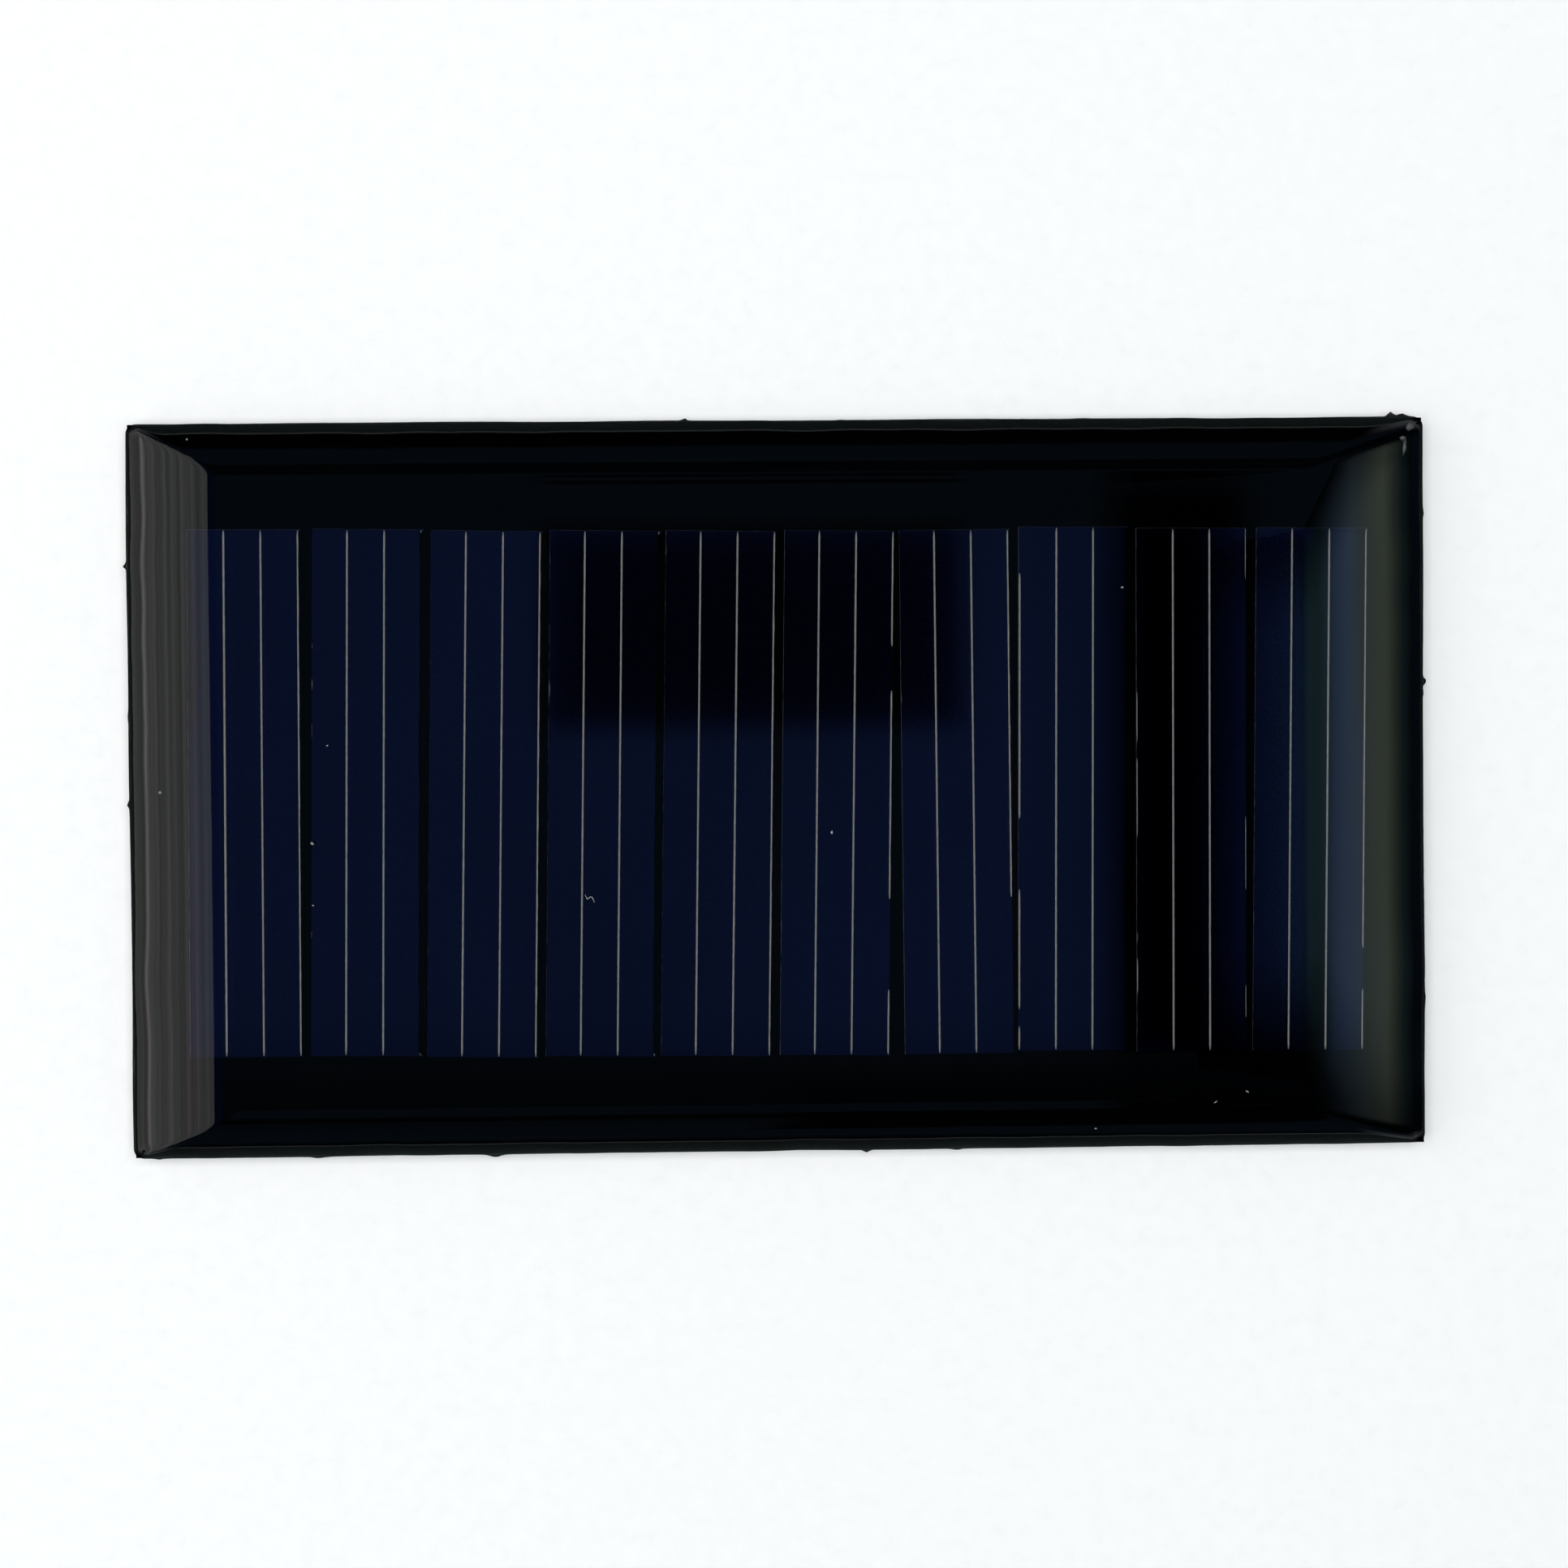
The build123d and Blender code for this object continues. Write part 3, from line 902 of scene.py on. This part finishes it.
def dust_fibre(tree, material):
    """A short bent fibre lying on the resin."""
    places = [surface_point(tree, x, y, FIBRE_RADIUS * 0.8) for x, y in FIBRE]
    sections = []
    for number, place in enumerate(places):
        before, after = places[max(number - 1, 0)], places[min(number + 1, len(places) - 1)]
        across = (after - before).cross(Vector((0, 0, 1))).normalized()
        thin = 0.5 if number in (0, len(places) - 1) else 1.0
        ring = []
        for step in range(FIBRE_SIDES):
            turn = 2 * math.pi * step / FIBRE_SIDES
            offset = across * math.cos(turn) + Vector((0, 0, 1)) * math.sin(turn)
            ring.append(place + offset * FIBRE_RADIUS * thin)
        sections.append(ring)
    points, faces = loft(sections)
    add_piece("dust_fibre", points, faces, material)


# ====================================================== stage


def floor_material():
    """Plain pale paper: the resin mirrors it dimly, and far off it is as pale as the backdrop."""
    shader = Shader("paper")
    shader.set(Specular_IOR_Level=0.0, Roughness=0.95, Emission_Color=BACKDROP_COLOUR)
    tooth = shader.noise((1500, 1500, 1500), 4.0, 0.6)
    seen = shader.ramp(tooth, (0.3, (0.90, 0.91, 0.905)), (0.7, (0.95, 0.955, 0.95)))
    mirrored = shader.ramp(tooth, (0.3, (0.060, 0.080, 0.075)), (0.7, (0.066, 0.088, 0.082)))
    path = shader.add("LightPath")
    near = shader.mix(path.outputs["Is Glossy Ray"], seen, mirrored)
    radius = shader.add("VectorMath", operation="LENGTH")
    shader.join(shader.coordinates("Object", (1, 1, 1)), radius.inputs[0])
    share = shader.add("MapRange")
    share.inputs["From Min"].default_value = FLOOR_FADE[0]
    share.inputs["From Max"].default_value = FLOOR_FADE[1]
    shader.join(radius.outputs["Value"], share.inputs["Value"])
    shader.link(shader.mix(share.outputs["Result"], near, BLACK), "Base Color")
    glow = shader.ramp(share.outputs["Result"], (0.0, FLOOR_GLOW), (1.0, 1.0))
    shader.link(shader.math("MULTIPLY", glow, path.outputs["Is Camera Ray"]), "Emission Strength")
    shader.link(shader.bump(tooth, 0.5, 0.00004), "Normal")
    return shader.material


def add_stage_mesh(name, corners, material):
    """A flat sheet of the stage from its four corners, in metres."""
    mesh = bpy.data.meshes.new(name)
    mesh.from_pydata(corners, [], [(0, 1, 2, 3)])
    mesh.materials.append(material)
    sheet = bpy.data.objects.new(name, mesh)
    bpy.context.scene.collection.objects.link(sheet)
    return sheet


def add_floor():
    half = FLOOR_SIZE / 2
    corners = [(-half, -half), (half, -half), (half, half), (-half, half)]
    add_stage_mesh("floor", [(x, y, -FLOOR_DROP) for x, y in corners], floor_material())


def add_card(name, corners, material):
    """A flat stage card, which the camera doesn't see."""
    card = add_stage_mesh(name, corners, material)
    layer = card.data.uv_layers.new(name="card")
    for loop, place in zip(layer.data, ((0, 0), (1, 0), (1, 1), (0, 1))):
        loop.uv = place
    card.visible_camera = False
    card.visible_shadow = False


class CardShader(NodeTree):
    """A stage card's node tree: emission or darkness, laid out over the card's own square."""

    def __init__(self, name):
        self.material = bpy.data.materials.new(name)
        super().__init__(self.material)
        self.output = self.add("OutputMaterial")
        self.split = self.add("SeparateXYZ")
        self.join(self.add("TexCoord").outputs["UV"], self.split.inputs[0])

    def soft_mask(self, soft_u, soft_v, level=1.0):
        """Level in the middle of the card, fading to nothing at its edges."""
        masks = []
        for axis, soft, top in (("X", soft_u, level), ("Y", soft_v, 1.0)):
            stops = ((0.0, 0.0), (soft, top), (1 - soft, top), (1.0, 0.0))
            masks.append(self.ramp(self.split.outputs[axis], *stops))
        return self.math("MULTIPLY", *masks)

    def streaks(self, scale, low, high):
        """Soft streaks along the card's V direction, from one colour or level to another."""
        place = self.coordinates("UV", scale)
        return self.ramp(self.noise_over(place, 3.0, 0.5), (0.36, low), (0.64, high))

    def glow(self, colour, strength):
        """Emission of a colour socket times a strength socket."""
        emission = self.add("Emission")
        self.join(colour, emission.inputs["Color"])
        self.join(strength, emission.inputs["Strength"])
        self.join(emission.outputs[0], self.output.inputs["Surface"])
        return self.material

    def shade(self, cover, colour):
        """A dark colour where cover is one, and nothing where it is nought."""
        dark = self.add("Emission")
        dark.inputs["Color"].default_value = colour
        mix = self.add("MixShader")
        self.join(cover, mix.inputs[0])
        self.join(self.add("BsdfTransparent").outputs[0], mix.inputs[1])
        self.join(dark.outputs[0], mix.inputs[2])
        self.join(mix.outputs[0], self.output.inputs["Surface"])
        return self.material


def slanted_card(side, near_angle, far_angle, low_y, high_y):
    """Corners of a card on the -X or +X side, between two angles off the vertical.

    low_y and high_y are its limits along Y, each at its near and at its far side.
    """
    near, far = (
        Vector((math.sin(math.radians(angle)), math.cos(math.radians(angle)))) * CARD_DISTANCE
        for angle in (near_angle, far_angle)
    )
    return [
        (side * near.x, low_y[0], near.y),
        (side * far.x, low_y[1], far.y),
        (side * far.x, high_y[1], far.y),
        (side * near.x, high_y[0], near.y),
    ]


def left_light():
    """A wide window on the -X side, with upright streaks, some rosy and some greenish."""
    shader = CardShader("left_light")
    levels = shader.ramp(
        shader.split.outputs["X"],
        (0.0, (0.66, 0.70, 0.72)),
        (0.42, (0.72, 0.75, 0.76)),
        (0.60, (0.98, 0.99, 1.00)),
        (0.69, (0.90, 0.91, 0.92)),
        (0.72, (1.55, 1.58, 1.60)),
        (0.75, (0.84, 0.85, 0.86)),
        (1.0, (0.95, 0.95, 0.95)),
    )
    tints = shader.streaks((8, 1.6, 1), (1.09, 0.95, 1.02), (0.93, 1.01, 0.92))
    tinted = shader.mix(1.0, levels, tints, "MULTIPLY")
    return shader.glow(tinted, shader.streaks((17, 1.1, 1), 0.66, 1.34))


def right_light():
    """A soft light on the +X side, brightest midway and fading towards both its ends."""
    shader = CardShader("right_light")
    levels = shader.ramp(
        shader.split.outputs["X"],
        (0.0, (0.002, 0.003, 0.012)),
        (0.05, (0.018, 0.038, 0.060)),
        (0.10, (0.10, 0.26, 0.22)),
        (0.20, (0.14, 0.29, 0.36)),
        (0.30, (0.26, 0.43, 0.66)),
        (0.44, (0.42, 0.64, 0.81)),
        (0.60, (0.55, 0.73, 0.67)),
        (0.745, (0.65, 0.79, 0.63)),
        (0.83, (0.30, 0.39, 0.31)),
        (0.90, (0.10, 0.18, 0.20)),
        (1.0, (0.015, 0.036, 0.057)),
    )
    fade = shader.ramp(
        shader.split.outputs["Y"], (0.0, 0.0), (0.05, 0.12), (0.20, 1.0), (0.83, 1.0), (1.0, 0.0)
    )
    faded = shader.mix(1.0, levels, fade, "MULTIPLY")
    return shader.glow(faded, shader.streaks((5, 1.5, 1), 0.94, 1.06))


def add_soft_lights():
    """Soft sources left and right, and an overhead fill that glossy surfaces don't mirror."""
    add_card("left_light", slanted_card(-1, *LEFT_LIGHT_ANGLES, *WIDE_CARD), left_light())
    right_corners = slanted_card(1, *RIGHT_LIGHT_ANGLES, RIGHT_LIGHT_LOW, RIGHT_LIGHT_HIGH)
    add_card("right_light", right_corners, right_light())
    data = bpy.data.lights.new("overhead_fill", "AREA")
    data.shape = "RECTANGLE"
    data.size, data.size_y = FILL_SIZE
    data.energy = FILL_POWER
    fill = bpy.data.objects.new("overhead_fill", data)
    fill.location = FILL_PLACE
    fill.visible_glossy = False
    fill.visible_transmission = False
    fill.visible_camera = False
    bpy.context.scene.collection.objects.link(fill)


def horizon_level(studio, direction):
    """How much of the pale horizon shows in a direction: all round just above the floor, and
    higher up only towards the room's corners."""
    east, north, up = (direction.outputs[axis] for axis in "XYZ")
    cornering = studio.math("ABSOLUTE", studio.math("MULTIPLY", east, north))
    corners = studio.math(
        "MULTIPLY",
        studio.ramp(cornering, (0.20, 0.0), (0.38, 1.0)),
        studio.ramp(up, (0.0, 1.0), (0.25, 0.75), (0.42, 0.35), (0.55, 0.0)),
    )
    return studio.math("MAXIMUM", corners, studio.ramp(up, (0.0, 0.45), (0.05, 0.40), (0.08, 0.0)))


def add_world():
    """A dim blue ceiling for reflections, in bands from -Y to +Y; pale for the camera."""
    world = bpy.data.worlds.new("studio")
    bpy.context.scene.world = world
    studio = NodeTree(world)
    direction = studio.add("SeparateXYZ")
    studio.join(studio.add("TexCoord").outputs["Generated"], direction.inputs[0])
    across = studio.add("MapRange")
    across.inputs["From Min"].default_value = -1.0
    studio.join(direction.outputs["Y"], across.inputs["Value"])
    stops = []
    for degrees, level in CEILING_BANDS:
        position = (math.sin(math.radians(degrees)) + 1) / 2
        stops.append((position, tuple(CEILING_FLOOR + level * channel for channel in CEILING_COLOUR)))
    bands = studio.ramp(across.outputs["Result"], *stops)
    ceiling = studio.add("Background")
    studio.join(studio.mix(horizon_level(studio, direction), bands, HORIZON_COLOUR), ceiling.inputs["Color"])
    backdrop = studio.add("Background")
    backdrop.inputs["Color"].default_value = BACKDROP_COLOUR
    mix = studio.add("MixShader")
    studio.join(studio.add("LightPath").outputs["Is Camera Ray"], mix.inputs[0])
    studio.join(ceiling.outputs[0], mix.inputs[1])
    studio.join(backdrop.outputs[0], mix.inputs[2])
    studio.join(mix.outputs[0], studio.add("OutputWorld").inputs["Surface"])


def add_dark_flags():
    """Soft-edged dark flags, which the resin and the silicon mirror."""
    for name, (x0, x1, y0, y1), soft, level in DARK_FLAGS:
        shader = CardShader(name)
        cover = shader.soft_mask(soft / (x1 - x0), soft / (y1 - y0), level)
        corners = [(x0, y0), (x1, y0), (x1, y1), (x0, y1)]
        add_card(name, [(x, y, FLAG_HEIGHT) for x, y in corners], shader.shade(cover, BLACK))
    gap = CardShader("left_gap")
    gap_shade = gap.shade(gap.soft_mask(*GAP_SOFTNESS), LEFT_GAP_COLOUR)
    add_card("left_gap", slanted_card(-GAP_CLOSER, *LEFT_GAP_ANGLES, *WIDE_CARD), gap_shade)


def add_camera():
    """Camera almost straight above the panel."""
    data = bpy.data.cameras.new("camera")
    data.sensor_width = 36.0
    data.lens = CAMERA_LENS
    data.clip_start = 0.005
    data.clip_end = 20.0
    camera = bpy.data.objects.new("camera", data)
    place, aim = Vector(CAMERA_PLACE) * MM, Vector(CAMERA_AIM) * MM
    back = (place - aim).normalized()
    right = Vector((0, 1, 0)).cross(back).normalized()
    upright = Matrix((right, back.cross(right), back)).transposed().to_4x4()
    roll = Matrix.Rotation(math.radians(CAMERA_ROLL), 4, "Z")
    camera.matrix_world = Matrix.Translation(place) @ upright @ roll
    bpy.context.scene.collection.objects.link(camera)
    bpy.context.scene.camera = camera


# ====================================================== build


def dress_cad_nodes(materials):
    """Gives the CAD nodes that stay in view their materials."""
    looks = {
        "front_solder_mask": "front_mask",
        "rear_solder_mask": "rear_mask",
        "cell_lands": "copper",
        "negative_land": "copper",
        "cell_bonds": "bond_adhesive",
    }
    for side in ("plus", "minus"):
        looks[f"{side}_via_barrel"] = "copper"
        looks[f"{side}_via_fill"] = "solder"
        looks[f"{side}_pad"] = "copper"
        looks[f"{side}_pad_tinning"] = "solder"
        looks[f"{side}_mark"] = "mark_ink"
    for name in nodes:
        if name.startswith("rear_contact_"):
            looks[name] = "rear_aluminium"
    for name, look in looks.items():
        mesh = nodes[name].data
        mesh.materials.clear()
        mesh.materials.append(materials[look])


materials = make_materials()
dress_cad_nodes(materials)

dome = resin_dome(materials["clear_resin"])
dome_points = [vertex.co / MM for vertex in dome.data.vertices]
dome_tree = BVHTree.FromPolygons(dome_points, [polygon.vertices for polygon in dome.data.polygons])
lumps("dust_specks", SPECKS, dome_tree, materials["dust"])
lumps("mould_flash", FLASH, dome_tree, materials["mould_flash"])
dust_fibre(dome_tree, materials["dust"])
laminate_board(materials["board_laminate"])
strip_total = sum(name.startswith("silicon_strip_") for name in nodes)
for number in range(1, strip_total + 1):
    strip_place = wafer_strip(number, materials["silicon"])
    finger_set(number, strip_place, materials["finger_silver"])
    adhesive_bead(number, strip_place, materials["link_adhesive"], strip_total)

add_floor()
add_soft_lights()
add_world()
add_dark_flags()
add_camera()
bpy.context.scene.view_settings.view_transform = "Standard"

bpy.context.view_layer.update()
